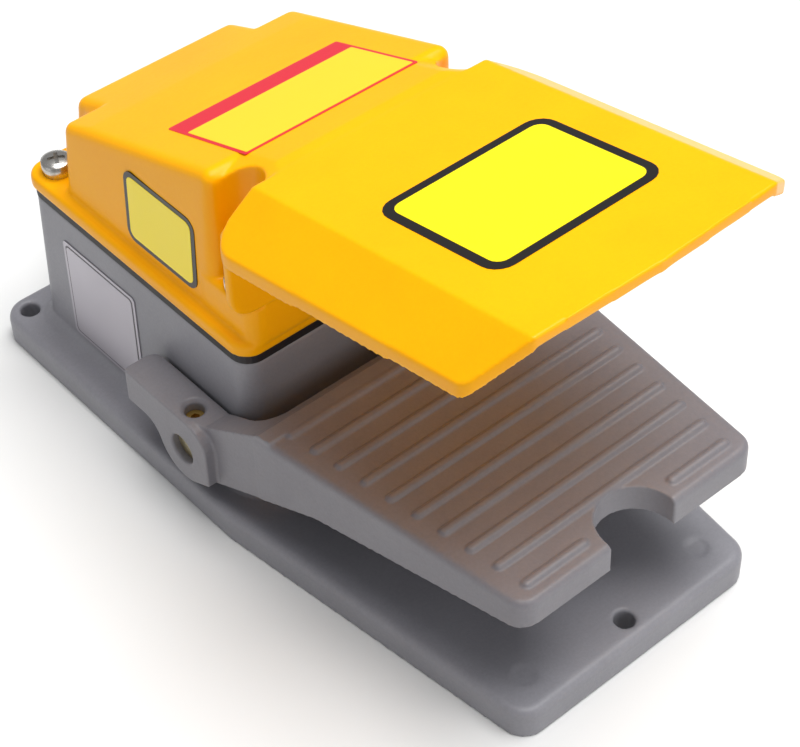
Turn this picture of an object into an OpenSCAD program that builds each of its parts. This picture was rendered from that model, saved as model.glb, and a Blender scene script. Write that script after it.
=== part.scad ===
// Heavy-duty foot switch: cast base and housing, yellow cover with guard, ribbed pedal on a cross
// shaft, and the switch unit that the shaft works inside the housing.
// The frame's origin is the middle of the base plate at the floor. +X is right, +Y is the rear.

/* [Base plate] */
// Length of the base plate, front to rear
base_len = 240; // [232:1:270]
// How far the plate reaches past the housing's foot at each side
base_side = 10.8; // [9:0.2:14]
// Width that the tapering sides reach at the front edge
nose_w = 92.6; // [80:0.2:100]
// Distance from the front edge to where the taper starts
taper_y = 116; // [105:1:118]
// Height of the base plate
base_h = 11; // [9:0.5:14]
// Radius of the plate's corners in plan
base_r = 8; // [6:0.5:10]
// Rounding of the plate's top rim
rim_r = 2.5; // [1:0.25:3]
// Depth of the coring under the plate
core_depth = 6; // [3:0.5:7]
// Wall left round the coring
core_wall = 5; // [4:0.5:7]
// Diameter of the floor fixing holes
fix_d = 6.5; // [5:0.5:7]
// Distance of the fixing holes from the plate's edges
fix_inset = 7.4; // [7:0.2:9]

/* [Housing] */
// Width of the housing at its foot
house_w = 100; // [98:0.5:102]
// Distance from the front edge to the housing's front wall
house_front = 115.5; // [112:0.5:118]
// Length of the housing at its foot
house_len = 113; // [112:0.5:116]
// Height of the housing above the plate
house_h = 54; // [52:0.5:60]
// Lean of each side wall over the housing's height
side_draft = 0.5; // [0.1:0.1:1]
// Lean of the rear wall over the housing's height
rear_draft = 2.5; // [0.5:0.5:3]
// Wall of the housing
house_wall = 4; // [3:0.25:5]
// Radius of the housing's corners in plan
house_r = 7; // [5:0.5:8]
// Size of the fillet at the housing's foot
foot_fillet = 3; // [1:0.5:3.5]

/* [Gasket and cover flange] */
// Thickness of the gasket
gasket_t = 3.3; // [1.5:0.1:4]
// Thickness of the cover's flange
flange_t = 5; // [4:0.5:7]
// Overhang of the flange past the housing's top edge
flange_over = 0.9; // [0.5:0.1:1.2]
// Distance of the cover screws in from the housing's top edge at the sides
screw_in_x = 7; // [6.6:0.1:7.5]
// Distance of the cover screws in from the housing's top edge at front and rear
screw_in_y = 8; // [7:0.5:9]
// Diameter of the cover screws
screw_d = 5; // [4:0.5:6]
// Diameter of their heads
screw_head_d = 10; // [9:0.5:11]
// Height of their heads
screw_head_h = 3.7; // [3:0.1:4.5]
// Height of the spring washer under each head
spring_washer_h = 1.7; // [1:0.1:2]

/* [Cover] */
// Width of the ledge that the flange leaves beside and behind the cover box
ledge = 3.4; // [3:0.1:5]
// Lean of the cover box's sides over its height
box_draft = 1.7; // [0.5:0.1:2.5]
// Clearance between the front screw heads and the cover box
box_clear_front = 2.5; // [2:0.25:4]
// Clearance between the rear screw heads and the cover box
box_clear_rear = 4; // [3:0.5:8]
// Wall of the cover
cover_wall = 4; // [3:0.25:5]
// Radius of the cover box's corners
box_r = 5; // [4:0.25:6]
// Rounding of the cover's top rim
crown_r = 3.5; // [2:0.25:4]
// Clearance between the rear screw heads and the tail behind the cover box
tail_clear = 4.5; // [3:0.25:7]
// Clearance between the front screw heads and the neck in front of the cover box
neck_clear = 3.6; // [2.8:0.2:7]
// Radius in the corners where the tail meets the box
cove_r = 6; // [4:0.5:7]
// Height of the front pockets' floor above the flange
pocket_h = 13.7; // [12:0.1:16]
// Height of the roof's front edge, where the guard starts, above the flange
crown_h = 56; // [53:0.5:58]
// Slope of the roof in degrees
roof_slope = 19; // [17:0.25:20]
// Slope of the roof's last stretch over the tail in degrees
tail_slope = 21.3; // [20.5:0.1:23]
// Length of that last stretch
tail_top_len = 28; // [26:0.5:31]
// Distance from the housing's front wall to the line where roof and guard meet
crown_in = 4; // [3:0.5:5]

/* [Guard] */
// Distance from the base plate's front edge to the guard's front edge
guard_front = 5; // [0:0.5:12]
// Slope of the guard in degrees
guard_slope = 10.7; // [9:0.1:12]
// Thickness of the guard
guard_t = 4; // [3:0.25:5]
// Width of the guard's flat middle, between its creases
guard_flat = 84.6; // [80:0.2:88]
// Width of the guard over its wings at the front
guard_w = 114.8; // [110:0.2:116]
// Widening of the guard from front to rear
guard_flare = 2.6; // [0:0.2:3]
// Drop of each wing from crease to edge
wing_drop = 10.8; // [8:0.2:13]
// Set-back of the wings' front corners
wing_back = 10; // [6:0.5:12]
// Thickness of the front web under the guard
web_t = 3; // [2.5:0.25:4]
// How far the web's sides lie inside the guard's
web_in = 4.7; // [3:0.1:6]
// Radius of the web's lower corners
web_r = 8; // [6:0.5:8]

/* [Pedal] */
// Distance from the base plate's front edge to the pedal's front edge
pedal_front = 3.5; // [2:0.5:10]
// Height of the pedal's top at its front, above the floor
pedal_z = 55.7; // [50:0.5:58]
// Backward slope of the pedal's top in degrees
pedal_tilt = 1.7; // [0.5:0.1:3]
// Width of the pedal at its front edge
pedal_w = 90.6; // [84:0.2:94]
// Wall of the pedal's top and skirts
pedal_wall = 4.5; // [3.5:0.25:5]
// Rounding of the pedal's top rim
pedal_rim = 2; // [1.5:0.25:3]
// Radius of the pedal's front corners
pedal_r = 6; // [5:0.5:8]
// Depth of the front lip
lip_h = 9.5; // [8:0.5:12]
// Radius of the finger notch in the front edge
notch_r = 12.3; // [10:0.1:13]
// Clear width between the pedal's rear edge and the housing
rear_gap = 10; // [9:0.5:12]
// Number of rib rows
rib_rows = 10; // [8:1:11]
// Width of a rib
rib_w = 3.3; // [2.8:0.1:5]
// Height of a rib
rib_h = 1.2; // [1:0.1:1.4]
// Gap between the ears and the housing
ear_gap = 0.8; // [0.5:0.1:1]
// How far the ears' outer faces reach past the base plate
ear_over = 2.4; // [1:0.2:3]
// Radius of the ear's underside round the shaft
ear_r = 11.8; // [11:0.2:12.4]
// Distance from the shaft to the ear's front edge
ear_front = 12.4; // [12.2:0.1:14]
// Height of the ear's top above the shaft
ear_top = 13.7; // [13:0.1:15]
// Length of the ear's tail behind the shaft
ear_tail = 27.8; // [26:0.2:32]

/* [Shaft] */
// Distance from the housing's front wall to the shaft
pivot_in = 17.5; // [17:0.25:19]
// Height of the shaft above the base plate
pivot_h = 17; // [16.5:0.25:18]
// Diameter of the shaft
shaft_d = 10; // [9:0.5:11]
// How far the shaft's ends lie inside the ears' faces
shaft_in = 2.6; // [1:0.2:3.5]
// Radial clearance of the shaft in its bushes and ears
shaft_play = 0.05; // [0.02:0.01:0.08]
// Wall of the bushes
bush_t = 2; // [1.5:0.25:2.5]
// Length of the bushes
bush_len = 9; // [8:0.5:11]
// Wall of the shaft seals
seal_t = 3; // [2.5:0.25:3.5]
// Length of the shaft seals
seal_len = 2.8; // [2:0.2:3.2]
// Diameter of the set screws in the ears
set_d = 6; // [5:0.5:6]
// How far the pedal turns, in degrees
press_angle = 8; // [5:0.5:10]

/* [Cam lever and spring] */
// Radius of the cam lever's hub
hub_r = 9.5; // [8.5:0.25:10]
// Width of the hub
hub_w = 14; // [12:0.5:16]
// Width of the lever's arm
arm_w = 8; // [6:0.5:10]
// Depth of the lever's arm
arm_h = 9; // [8:0.5:10]
// Radius of the nose
nose_r = 5; // [4.6:0.1:5.5]
// Mean radius of the return spring
spring_r = 6.5; // [6:0.25:7]
// Wire of the return spring
wire_d = 2.2; // [1.6:0.1:2.4]
// Free turns of the return spring
spring_turns = 6; // [5:0.5:7]
// Height of the return spring in place
spring_h = 27; // [25:0.5:28]
// Radius of the rubber stop under the lever
stop_r = 6; // [4:0.5:6.5]

/* [Switch unit] */
// Clear run between the switch lever's pin and the cable inlet
lever_clear = 13; // [12:0.25:16]
// Clear run between the switch case and the cable inlet
case_clear = 6; // [4:0.5:8]
// Width of the switch case
case_w = 17.4; // [16:0.2:18]
// Height of the switch case
case_h = 24; // [22:0.5:25]
// Radius of the roller
roller_r = 4.5; // [4:0.1:5]
// Width of the roller
roller_w = 5; // [4:0.5:6]
// Thickness of the switch lever's strip
strip_t = 1.2; // [1:0.1:1.5]
// Width of the switch lever over its ears
strip_w = 8; // [7.4:0.2:9]
// Diameter of the lever's pin and of the roller's pin
pin_d = 2.6; // [2:0.1:3]
// Diameter of the plunger
plunger_d = 4; // [3:0.25:5]
// Sheet of the switch bracket
bracket_t = 2; // [1.5:0.25:2.5]

/* [Cable inlet] */
// Diameter of the gland's thread
gland_d = 20; // [18:0.5:21]
// How far the gland's flats reach past its thread
gland_lip = 2; // [1.5:0.1:2.5]
// Diameter of the inlet's bore
inlet_d = 9; // [6:0.5:10]
// Height of the inlet above the base plate
inlet_h = 27; // [25:0.5:28]

/* [Hidden] */
$fn = 64;
hull_fn = 32;          // facets of the pieces that a hull blends
over = 1;              // overrun of every cut
gap = 0.3;             // air between pieces that move against each other
screw_play = 0.1;      // radial clearance of a screw in its hole
lap = 0.25;            // overlap of two forms that make one piece

// Places along Y are given from the plate's front edge and turned to the frame by this
function from_front(d) = d - base_len / 2;

base_w = house_w + 2 * base_side;
front_wall = from_front(house_front);
rear_wall = from_front(house_front + house_len);
house_top = base_h + house_h;
top_w = house_w - 2 * side_draft;
top_rear = rear_wall - rear_draft;
gasket_top = house_top + gasket_t;
flange_top = gasket_top + flange_t;
pivot_y = front_wall + pivot_in;
pivot_z = base_h + pivot_h;
screw_x = top_w / 2 - screw_in_x;
screw_front = front_wall + screw_in_y;
screw_rear = top_rear - screw_in_y;
pillar_r = screw_d / 2 + house_wall;
side_slope = (base_w - nose_w) / 2 / taper_y;

// Points of an arc, from angle a to angle b
function arc(x, y, r, a, b, n = 6) = [for (i = [0:n]) let (t = a + (b - a) * i / n)
    [x + r * cos(t), y + r * sin(t)]];
// The same outline, followed back on the other side of X = 0
function both_sides(pts) = concat(pts, [for (i = [len(pts) - 1:-1:0]) [-pts[i][0], pts[i][1]]]);

// A round post whose top rim is rounded
module puck(r, h, edge) {
    rotate_extrude($fn = hull_fn) {
        square([r - edge, h]);
        square([r, h - edge]);
        translate([r - edge, h - edge]) circle(edge, $fn = hull_fn / 2);
    }
}

// A rectangle with round corners, from x -w/2 to w/2 and y0 to y1
module round_plate(w, y0, y1, r, h) {
    linear_extrude(h) polygon(concat(
        arc(w / 2 - r, y0 + r, r, -90, 0), arc(w / 2 - r, y1 - r, r, 0, 90),
        arc(-w / 2 + r, y1 - r, r, 90, 180), arc(-w / 2 + r, y0 + r, r, 180, 270)));
}

// A side view drawn in Y and Z, given the width w along X and centred on x
module side_slab(w, x = 0) {
    translate([x - w / 2, 0, 0]) rotate([90, 0, 90]) linear_extrude(w) children();
}

// A round bar along X from x0 to x1
module bar(r, x0, x1) {
    translate([x0, 0, 0]) rotate([0, 90, 0]) cylinder(r = r, h = x1 - x0);
}

module at_pivot() { translate([0, pivot_y, pivot_z]) children(); }

module mirrored() { for (side = [0, 1]) mirror([side, 0, 0]) children(); }

module at_cover_screws() {
    mirrored() {
        translate([screw_x, screw_front, 0]) children();
        translate([screw_x, screw_rear, 0]) children();
    }
}

// Half-width of the base plate at a distance from its front edge
function plate_half(d) = nose_w / 2 + side_slope * min(d, taper_y);

// Base plate and housing, which in truth are one casting
rear_hole_x = base_w / 2 - fix_inset;
rear_hole_y = from_front(base_len - fix_inset);
front_hole_y = from_front(fix_inset);
fix_boss_r = fix_d / 2 + core_wall * 0.7;
mark_d = 7.3;          // ejector marks on the plate's nose
mark_x = 35.4;
mark_in = 12;
mark_depth = 0.5;
core_rib_t = 3;        // cast ribs under the plate
stop_ledge = 1;        // ledge round the rubber stop
bush_boss_r = shaft_d / 2 + bush_t + house_wall;
bush_x0 = house_w / 2 - seal_len - bush_len;
bush_x1 = bush_x0 + bush_len;
seal_r = shaft_d / 2 + seal_t;
inlet_z = base_h + inlet_h;
inlet_boss_wall = 5;
inlet_boss_out = 1;    // how far the inlet's boss stands out past the housing's foot
inlet_boss_in = 4;     // how far it stands into the room
inlet_boss_r = gland_d / 2 + inlet_boss_wall;
inlet_face = rear_wall + inlet_boss_out;
inlet_inner = rear_wall - rear_draft - house_wall - inlet_boss_in;
seat_r = 6;            // bosses on the housing's floor
seat_h = 4;
seat_z = base_h + seat_h;
earth_x = -28;
earth_in = 33;         // from the rear wall to the earth screw
earth_y = rear_wall - earth_in;
small_d = 4;           // diameter of the small screws
foot_clear = 3;        // from the bracket's upright to its floor bosses
foot_x = case_w / 2 + bracket_t + seat_r + foot_clear;

// The cam lever and the switch lever above it are equally long and together fill the run from
// the shaft to the inlet
nose_reach = (inlet_inner - lever_clear - pivot_y) / (1 + cos(press_angle / 2));
spring_reach = nose_reach / 2;
roller_y = pivot_y + nose_reach;
case_lead = 6;         // from the case's front end to the roller
case_y0 = roller_y - case_lead;
case_y1 = inlet_inner - case_clear;
case_len = case_y1 - case_y0;
foot_share = 0.19;
foot_y = [case_y0 + case_len * foot_share, case_y1 - case_len * foot_share];
stop_y = pivot_y + (spring_reach + nose_reach) / 2;
stop_h = 6;            // height of the rubber stop
stop_seat = pivot_z - arm_h / 2 - gap - stop_h;

module plate_outline(inset) {
    half_front = nose_w / 2 - inset;
    half_rear = base_w / 2 - inset;
    r = max(base_r - inset, base_r / 4);
    polygon(both_sides(concat(
        [[0, from_front(inset)]],
        arc(half_front + side_slope * r - r, from_front(inset) + r, r, -90, -atan(side_slope)),
        [[half_rear, from_front(taper_y)]],
        arc(half_rear - r, from_front(base_len - inset) - r, r, 0, 90))));
}

module housing_shell() {
    hull() for (end = [0, 1]) mirrored() {
        y0 = end == 0 ? front_wall + house_r : rear_wall - house_r;
        y1 = end == 0 ? front_wall + house_r : top_rear - house_r;
        translate([house_w / 2 - house_r, y0, base_h])
            cylinder(r = house_r, h = over, $fn = hull_fn);
        translate([top_w / 2 - house_r, y1, house_top - over])
            cylinder(r = house_r, h = over, $fn = hull_fn);
    }
    hull() for (y = [front_wall + house_r, rear_wall - house_r]) mirrored()
        translate([house_w / 2 - house_r, y, base_h]) {
            cylinder(r = house_r + foot_fillet, h = lap, $fn = hull_fn);
            cylinder(r = house_r, h = foot_fillet, $fn = hull_fn);
        }
}

module housing_room() {
    difference() {
        translate([0, 0, base_h - over])
            round_plate(top_w - 2 * house_wall, front_wall + house_wall, top_rear - house_wall,
                house_r - house_wall / 2, house_h + 2 * over);
        at_cover_screws() cylinder(r = pillar_r, h = house_top);
        mirrored() {
            translate([0, pivot_y, pivot_z]) bar(bush_boss_r, bush_x0, house_w / 2);
            translate([bush_x0, pivot_y - bush_boss_r, 0])
                cube([house_w / 2 - bush_x0, 2 * bush_boss_r, pivot_z]);
        }
        translate([0, rear_wall, inlet_z]) rotate([90, 0, 0])
            cylinder(r = inlet_boss_r, h = rear_wall - inlet_inner);
    }
}

module housing() {
    color("#8b8c92") difference() {
        union() {
            housing_shell();
            translate([0, inlet_face, inlet_z]) rotate([90, 0, 0])
                cylinder(r = inlet_boss_r, h = inlet_face - rear_wall + rear_draft + house_wall);
        }
        housing_room();
        at_cover_screws() translate([0, 0, house_top - 5 * screw_d])
            cylinder(r = screw_d / 2 + screw_play, h = 5 * screw_d + over);
        mirrored() at_pivot() {
            bar(shaft_d / 2 + bush_t, bush_x0 - over, bush_x1);
            bar(seal_r, bush_x1, house_w / 2 + foot_fillet);
        }
        translate([0, inlet_face + over, inlet_z]) rotate([90, 0, 0])
            cylinder(r = gland_d / 2 + screw_play, h = inlet_face - inlet_inner + 2 * over);
    }
}

module plate_coring() {
    difference() {
        translate([0, 0, -over]) linear_extrude(core_depth + over) plate_outline(core_wall);
        mirrored() translate([rear_hole_x, rear_hole_y, -over])
            cylinder(r = fix_boss_r, h = core_depth + 2 * over);
        translate([0, front_hole_y, -over]) cylinder(r = fix_boss_r, h = core_depth + 2 * over);
        for (share = [0.25, 0.5, 0.75])
            translate([-base_w / 2, from_front(base_len * share) - core_rib_t / 2, -over])
                cube([base_w, core_rib_t, core_depth + 2 * over]);
    }
}

module base_plate() {
    screw_floor = core_depth + over;
    color("#85868c") difference() {
        union() {
            hull() mirrored() {
                translate([plate_half(base_r) - base_r, from_front(base_r), 0])
                    puck(base_r, base_h, rim_r);
                translate([base_w / 2 - base_r, from_front(taper_y), 0])
                    puck(base_r, base_h, rim_r);
                translate([base_w / 2 - base_r, from_front(base_len - base_r), 0])
                    puck(base_r, base_h, rim_r);
            }
            translate([0, stop_y, core_depth]) cylinder(r = stop_r + stop_ledge,
                h = stop_seat - core_depth);
            for (y = foot_y) translate([foot_x, y, core_depth])
                cylinder(r = seat_r, h = seat_z - core_depth);
            translate([earth_x, earth_y, core_depth])
                cylinder(r = seat_r, h = seat_z - core_depth);
        }
        plate_coring();
        mirrored() {
            translate([rear_hole_x, rear_hole_y, -over])
                cylinder(d = fix_d, h = base_h + 2 * over);
            translate([mark_x, from_front(mark_in), base_h - mark_depth])
                cylinder(d = mark_d, h = mark_depth + over);
        }
        translate([0, front_hole_y, -over]) cylinder(d = fix_d, h = base_h + 2 * over);
        for (y = foot_y) translate([foot_x, y, screw_floor])
            cylinder(r = small_d / 2 + screw_play, h = seat_z);
        translate([earth_x, earth_y, screw_floor])
            cylinder(r = small_d / 2 + screw_play, h = seat_z);
    }
}

// Cover
flange_half = top_w / 2 + flange_over;
flange_front = front_wall - flange_over;
flange_rear = top_rear + flange_over;
flange_rim = 1.5;      // rounding of the flange's and the pockets' edges
box_half = flange_half - ledge;
head_r = screw_head_d / 2;
box_y0 = screw_front + head_r + box_clear_front;
box_y1 = screw_rear - head_r - box_clear_rear;
tail_half = screw_x - head_r - tail_clear;
neck_half = screw_x - head_r - neck_clear;
tail_rear = flange_rear - ledge;
pocket_z = flange_top + pocket_h;
crown_y = front_wall + crown_in;
crown_z = flange_top + crown_h;
crease_y = tail_rear - tail_top_len;
web_front = front_wall - web_t;
guard_half = guard_w / 2;
guard_corner_r = 5;
wing_rear_r = 9;
wing_rear_in = 0.7;    // how far the wings' rear edges stop short of the housing's front wall
wing_rear = front_wall - wing_rear_in;
slot_r = (box_y0 - wing_rear) / 2;    // the slot between each wing and the cover box
slot_y = (box_y0 + wing_rear) / 2;
slot_bite = 0.1;       // how far a slot's round is let into the walls it ends on
web_w = guard_w + guard_flare - 2 * web_in;
crease_x = guard_flat / 2;
wing_slope = wing_drop / (guard_half - crease_x);

function roof_z(y) = crown_z - (y - crown_y) * tan(roof_slope);
function guard_z(y) = crown_z + (crown_y - y) * tan(guard_slope);
function tail_z(y) = roof_z(crease_y) - (y - crease_y) * tan(tail_slope);

// One corner of a roofed box: a disc on the flange and a ball under the roof
module roofed_corner(half, y, way, draft, roof, slope) {
    translate([half - box_r, y - way * box_r, flange_top - over])
        cylinder(r = box_r, h = over, $fn = hull_fn);
    top_y = y - way * (draft + crown_r);
    translate([half - box_draft - crown_r, top_y, roof - crown_r / cos(slope)])
        sphere(crown_r, $fn = hull_fn);
}

// Box and tail. Their walls lean in, all but the front one, which faces the slots.
module cover_box() {
    lean = box_draft + crown_r;
    hull() mirrored() {
        roofed_corner(box_half, box_y0, -1, 0, roof_z(box_y0 + crown_r), roof_slope);
        roofed_corner(box_half, box_y1, 1, box_draft, roof_z(box_y1 - lean), roof_slope);
    }
    hull() mirrored() {
        roofed_corner(tail_half, crease_y - lean, -1, box_draft, tail_z(crease_y), tail_slope);
        roofed_corner(tail_half, tail_rear, 1, box_draft, tail_z(tail_rear - lean), tail_slope);
    }
}

// The neck between guard and box, with a round slot in each side and shoulders that slope down
// towards the slots. A slot's round meets the walls that it ends on at a slight angle.
module neck() {
    side = neck_half + slot_r;
    intersection() {
        translate([0, 0, flange_top]) linear_extrude(2 * crown_h) difference() {
            translate([-side, wing_rear - over])
                square([2 * side, box_y0 - wing_rear + crown_r + over]);
            for (way = [-1, 1]) translate([way * side, slot_y]) circle(slot_r + slot_bite);
        }
        translate([0, crown_y, crown_z]) rotate([90 - roof_slope, 0, 0])
            linear_extrude(2 * crown_h, center = true) polygon(both_sides(
                [[neck_half - crown_r, 0], [side + over, -crown_r], [side + over, -2 * crown_h]]));
    }
}

// Rounds the corner between the box's rear wall and the tail, which both lean in
module tail_cove() {
    root = box_draft + crown_r;
    wall_h = roof_z(box_y1 - root) - crown_r - flange_top;
    translate([tail_half, box_y1, flange_top]) difference() {
        translate([-root, -root, 0]) cube([cove_r + root, cove_r + root, wall_h]);
        translate([cove_r, cove_r, 0]) cylinder(r1 = cove_r + slot_bite,
            r2 = cove_r + slot_bite + box_draft, h = wall_h);
    }
}

module under_roof(down = 0) {
    side_slab(4 * box_half) translate([0, -down])
        polygon([[web_front - over, 0], [web_front - over, guard_z(web_front)],
            [crown_y, crown_z], [crease_y, roof_z(crease_y)], [flange_rear, tail_z(flange_rear)],
            [flange_rear, 0]]);
}

// Plan of the guard, seen from above
module guard_plan() {
    bend_y = from_front(guard_front) + wing_back * 0.15;
    lean = atan(wing_back * 0.85 / (guard_half - crease_x));
    cx = guard_half - guard_corner_r;
    cy = bend_y + (cx + guard_corner_r * sin(lean) - crease_x) * tan(lean)
        + guard_corner_r * cos(lean);
    rear_half = guard_half + guard_flare / 2;
    polygon(both_sides(concat(
        [[0, from_front(guard_front)], [crease_x, bend_y]],
        arc(cx, cy, guard_corner_r, lean - 90, 0),
        arc(rear_half - wing_rear_r, wing_rear - wing_rear_r, wing_rear_r, 0, 90))));
}

module guard() {
    reach = (crown_y - from_front(guard_front)) / cos(guard_slope) + 2 * over;
    half = guard_half + guard_flare;
    drop = (half - crease_x) * wing_slope;
    bend = atan(wing_slope);
    inner_x = crease_x - guard_t * tan(bend / 2);
    intersection() {
        translate([0, crown_y, crown_z]) rotate([90 - guard_slope, 0, 0]) linear_extrude(reach)
            polygon(both_sides([[0, 0], [crease_x, 0], [half, -drop],
                [half, -drop - guard_t / cos(bend)], [inner_x, -guard_t], [0, -guard_t]]));
        translate([0, 0, pocket_z]) linear_extrude(2 * crown_h) guard_plan();
    }
}

module front_web() {
    low = pocket_z + over;
    mid_z = guard_z(front_wall) - guard_t / 2;
    half = web_w / 2;
    edge_z = mid_z - (half - crease_x) * wing_slope;
    translate([0, front_wall, 0]) rotate([90, 0, 0]) linear_extrude(web_t)
        polygon(both_sides(concat([[0, low]], arc(half - web_r, low + web_r, web_r, -90, 0),
            [[half, edge_z], [crease_x, mid_z]])));
}

module front_pockets() {
    hull() mirrored() for (y = [web_front + flange_rim + box_r, box_y0 + box_r])
        translate([box_half - box_r, y, flange_top - over])
            puck(box_r, pocket_h + over, flange_rim);
}

module flange() {
    hull() mirrored() for (y = [flange_front + house_r, flange_rear - house_r])
        translate([flange_half - house_r, y, gasket_top]) puck(house_r, flange_t, flange_rim);
}

// A room inside the cover, open below, under a roof line that is one wall down
module cover_room(half, y0, y1, z0, z1) {
    side_slab(2 * half)
        polygon([[y0, gasket_top - over], [y1, gasket_top - over], [y1, z1], [y0, z0]]);
}

module cover_rooms() {
    down = cover_wall / cos(roof_slope);
    room_front = front_wall + house_wall;
    box_room_0 = box_y0 + cover_wall;
    box_room_1 = box_y1 - box_draft - cover_wall;
    tail_room_1 = tail_rear - box_draft - cover_wall;
    cover_room(box_half - box_draft - cover_wall, box_room_0, box_room_1,
        roof_z(box_room_0) - down, roof_z(box_room_1) - down - crown_r / 2);
    cover_room(tail_half - box_draft - cover_wall, box_room_1 - over, tail_room_1,
        tail_z(box_room_1) - down - crown_r / 2, tail_z(tail_room_1) - down - crown_r / 2);
    cover_room(neck_half - box_draft - cover_wall, room_front, box_room_0 + over,
        roof_z(room_front) - 2 * down, roof_z(box_room_0) - 2 * down);
    cover_room(screw_x - pillar_r, room_front, box_room_0 + over,
        pocket_z - cover_wall, pocket_z - cover_wall);
}

module cover() {
    color("#fdb813") difference() {
        union() {
            intersection() {
                union() {
                    cover_box();
                    neck();
                }
                under_roof();
            }
            intersection() {
                mirrored() tail_cove();
                under_roof(crown_r);
            }
            front_pockets();
            flange();
            front_web();
            guard();
        }
        cover_rooms();
        at_cover_screws() translate([0, 0, gasket_top - over])
            cylinder(r = screw_d / 2 + 2 * screw_play, h = pocket_h + flange_t + 2 * over);
    }
}

module cover_gasket() {
    color("#16110f") difference() {
        translate([0, 0, house_top])
            round_plate(top_w, front_wall, top_rear, house_r - side_draft, gasket_t);
        difference() {
            translate([0, 0, house_top - over])
                round_plate(top_w - 2 * house_wall, front_wall + house_wall,
                    top_rear - house_wall, house_r - house_wall / 2, gasket_t + 2 * over);
            at_cover_screws() translate([0, 0, house_top - 2 * over])
                cylinder(r = pillar_r, h = gasket_t + 4 * over);
        }
        at_cover_screws() translate([0, 0, house_top - over])
            cylinder(r = screw_d / 2 + 2 * screw_play, h = gasket_t + 2 * over);
    }
}

// Where each cover screw's washer sits: the front ones on the pockets, the rear ones on the flange
module at_screw_seats() {
    mirrored() {
        translate([screw_x, screw_front, pocket_z]) children();
        translate([screw_x, screw_rear, flange_top]) children();
    }
}

module pan_head_screw(d, head_d, head_h, len) {
    translate([0, 0, -len]) cylinder(d = d, h = len + lap);
    rotate_extrude() intersection() {
        union() {
            square([head_d / 2, head_h * 0.55]);
            translate([0, head_h * 0.55]) intersection() {
                translate([0, -head_d]) circle(head_d + head_h * 0.45, $fn = 128);
                square([head_d / 2, head_h]);
            }
        }
        square([head_d / 2, head_h]);
    }
}

module cover_screws() {
    color("#b9b6b2") {
        mirrored() {
            translate([screw_x, screw_rear, flange_top + spring_washer_h])
                pan_head_screw(screw_d, screw_head_d, screw_head_h,
                    spring_washer_h + flange_t + gasket_t + 2.5 * screw_d);
            translate([screw_x, screw_front, pocket_z + spring_washer_h])
                pan_head_screw(screw_d, screw_head_d, screw_head_h,
                    spring_washer_h + pocket_h + flange_t + gasket_t + 2.5 * screw_d);
        }
    }
}

module ring(r_out, r_in, h) {
    difference() {
        cylinder(r = r_out, h = h);
        translate([0, 0, -over]) cylinder(r = r_in, h = h + 2 * over);
    }
}

module spring_washers() {
    color("#c9c6c0") at_screw_seats()
        ring(head_r * 0.95, screw_d / 2 + screw_play, spring_washer_h);
}

// Shaft, bushes and seals
ear_x0 = house_w / 2 + ear_gap;
ear_x1 = base_w / 2 + ear_over;

module sleeve(r_out, r_in, x0, x1) {
    translate([x0, pivot_y, pivot_z]) rotate([0, 90, 0]) ring(r_out, r_in, x1 - x0);
}

module pivot_bushes() {
    color("#b98b3e") mirrored()
        sleeve(shaft_d / 2 + bush_t, shaft_d / 2 + shaft_play, bush_x0, bush_x1);
}

module shaft_seals() {
    color("#1c1a1a") mirrored()
        sleeve(seal_r, shaft_d / 2 + shaft_play, bush_x1, bush_x1 + seal_len - side_draft);
}

module pivot_shaft() {
    color("#9b958c") at_pivot() bar(shaft_d / 2, shaft_in - ear_x1, ear_x1 - shaft_in);
}

// Pedal
pedal_y0 = from_front(pedal_front);
pedal_y1 = front_wall - rear_gap;
cut_r = 8;             // radius in the corners between rear edge and ears
shoulder_in = 12.5;    // from the housing's front wall to the pedal's shoulders
shoulder_y = front_wall - shoulder_in;
skirt_bend_in = 76.5;  // from the pedal's front edge to where its skirts' lower edges bend
skirt_bend_y = pedal_y0 + skirt_bend_in;
skirt_bend_h = 18.9;   // depth of the skirts there
arm_in = 2.1;          // from the ears' outer faces in to the arms' sides
spread_slope = (ear_x1 - arm_in - pedal_w / 2) / (pivot_y - pedal_y0);
notch_in = 2;          // from the pedal's front edge to the notch's centre
notch_y = pedal_y0 + notch_in;
rib_front = 6.1;       // from the pedal's front edge to the first rib row
rib_rear = 9.4;        // from the last rib row to the pedal's rear edge
rib_margin = 5.9;      // from a rib's end to the pedal's side
rib_pitch = (pedal_y1 - pedal_y0 - rib_front - rib_rear) / (rib_rows - 1);
rib_bar_r = (rib_w * rib_w / 4 + rib_h * rib_h) / (2 * rib_h);
ear_low = 7;           // from the shaft down to the lower end of the ear's front edge
ear_front_r = 8;       // rounding of the ear's top at the front
tail_h = 12.2;         // height of the ear's tail
tail_r = 8;            // fillet under the tail
tail_outer_r = 1.5;    // corners of the tail in plan
tail_inner_r = 4;
bore_chamfer = 0.5;
set_chamfer = 1.2;

function pedal_half(y) = pedal_w / 2 + (y - pedal_y0) * spread_slope;
function pedal_top(y) = pedal_z - (y - pedal_y0) * tan(pedal_tilt);

module at_pedal_top() {
    translate([0, pedal_y0, pedal_z]) rotate([-pedal_tilt, 0, 0]) children();
}

module treadle_block() {
    depth = pedal_z - pivot_z;
    at_pedal_top() hull() mirrored() for (s = [pedal_r, shoulder_y - pedal_y0])
        translate([pedal_w / 2 + s * spread_slope - pedal_r, s, -depth])
            puck(pedal_r, depth, pedal_rim);
}

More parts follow.
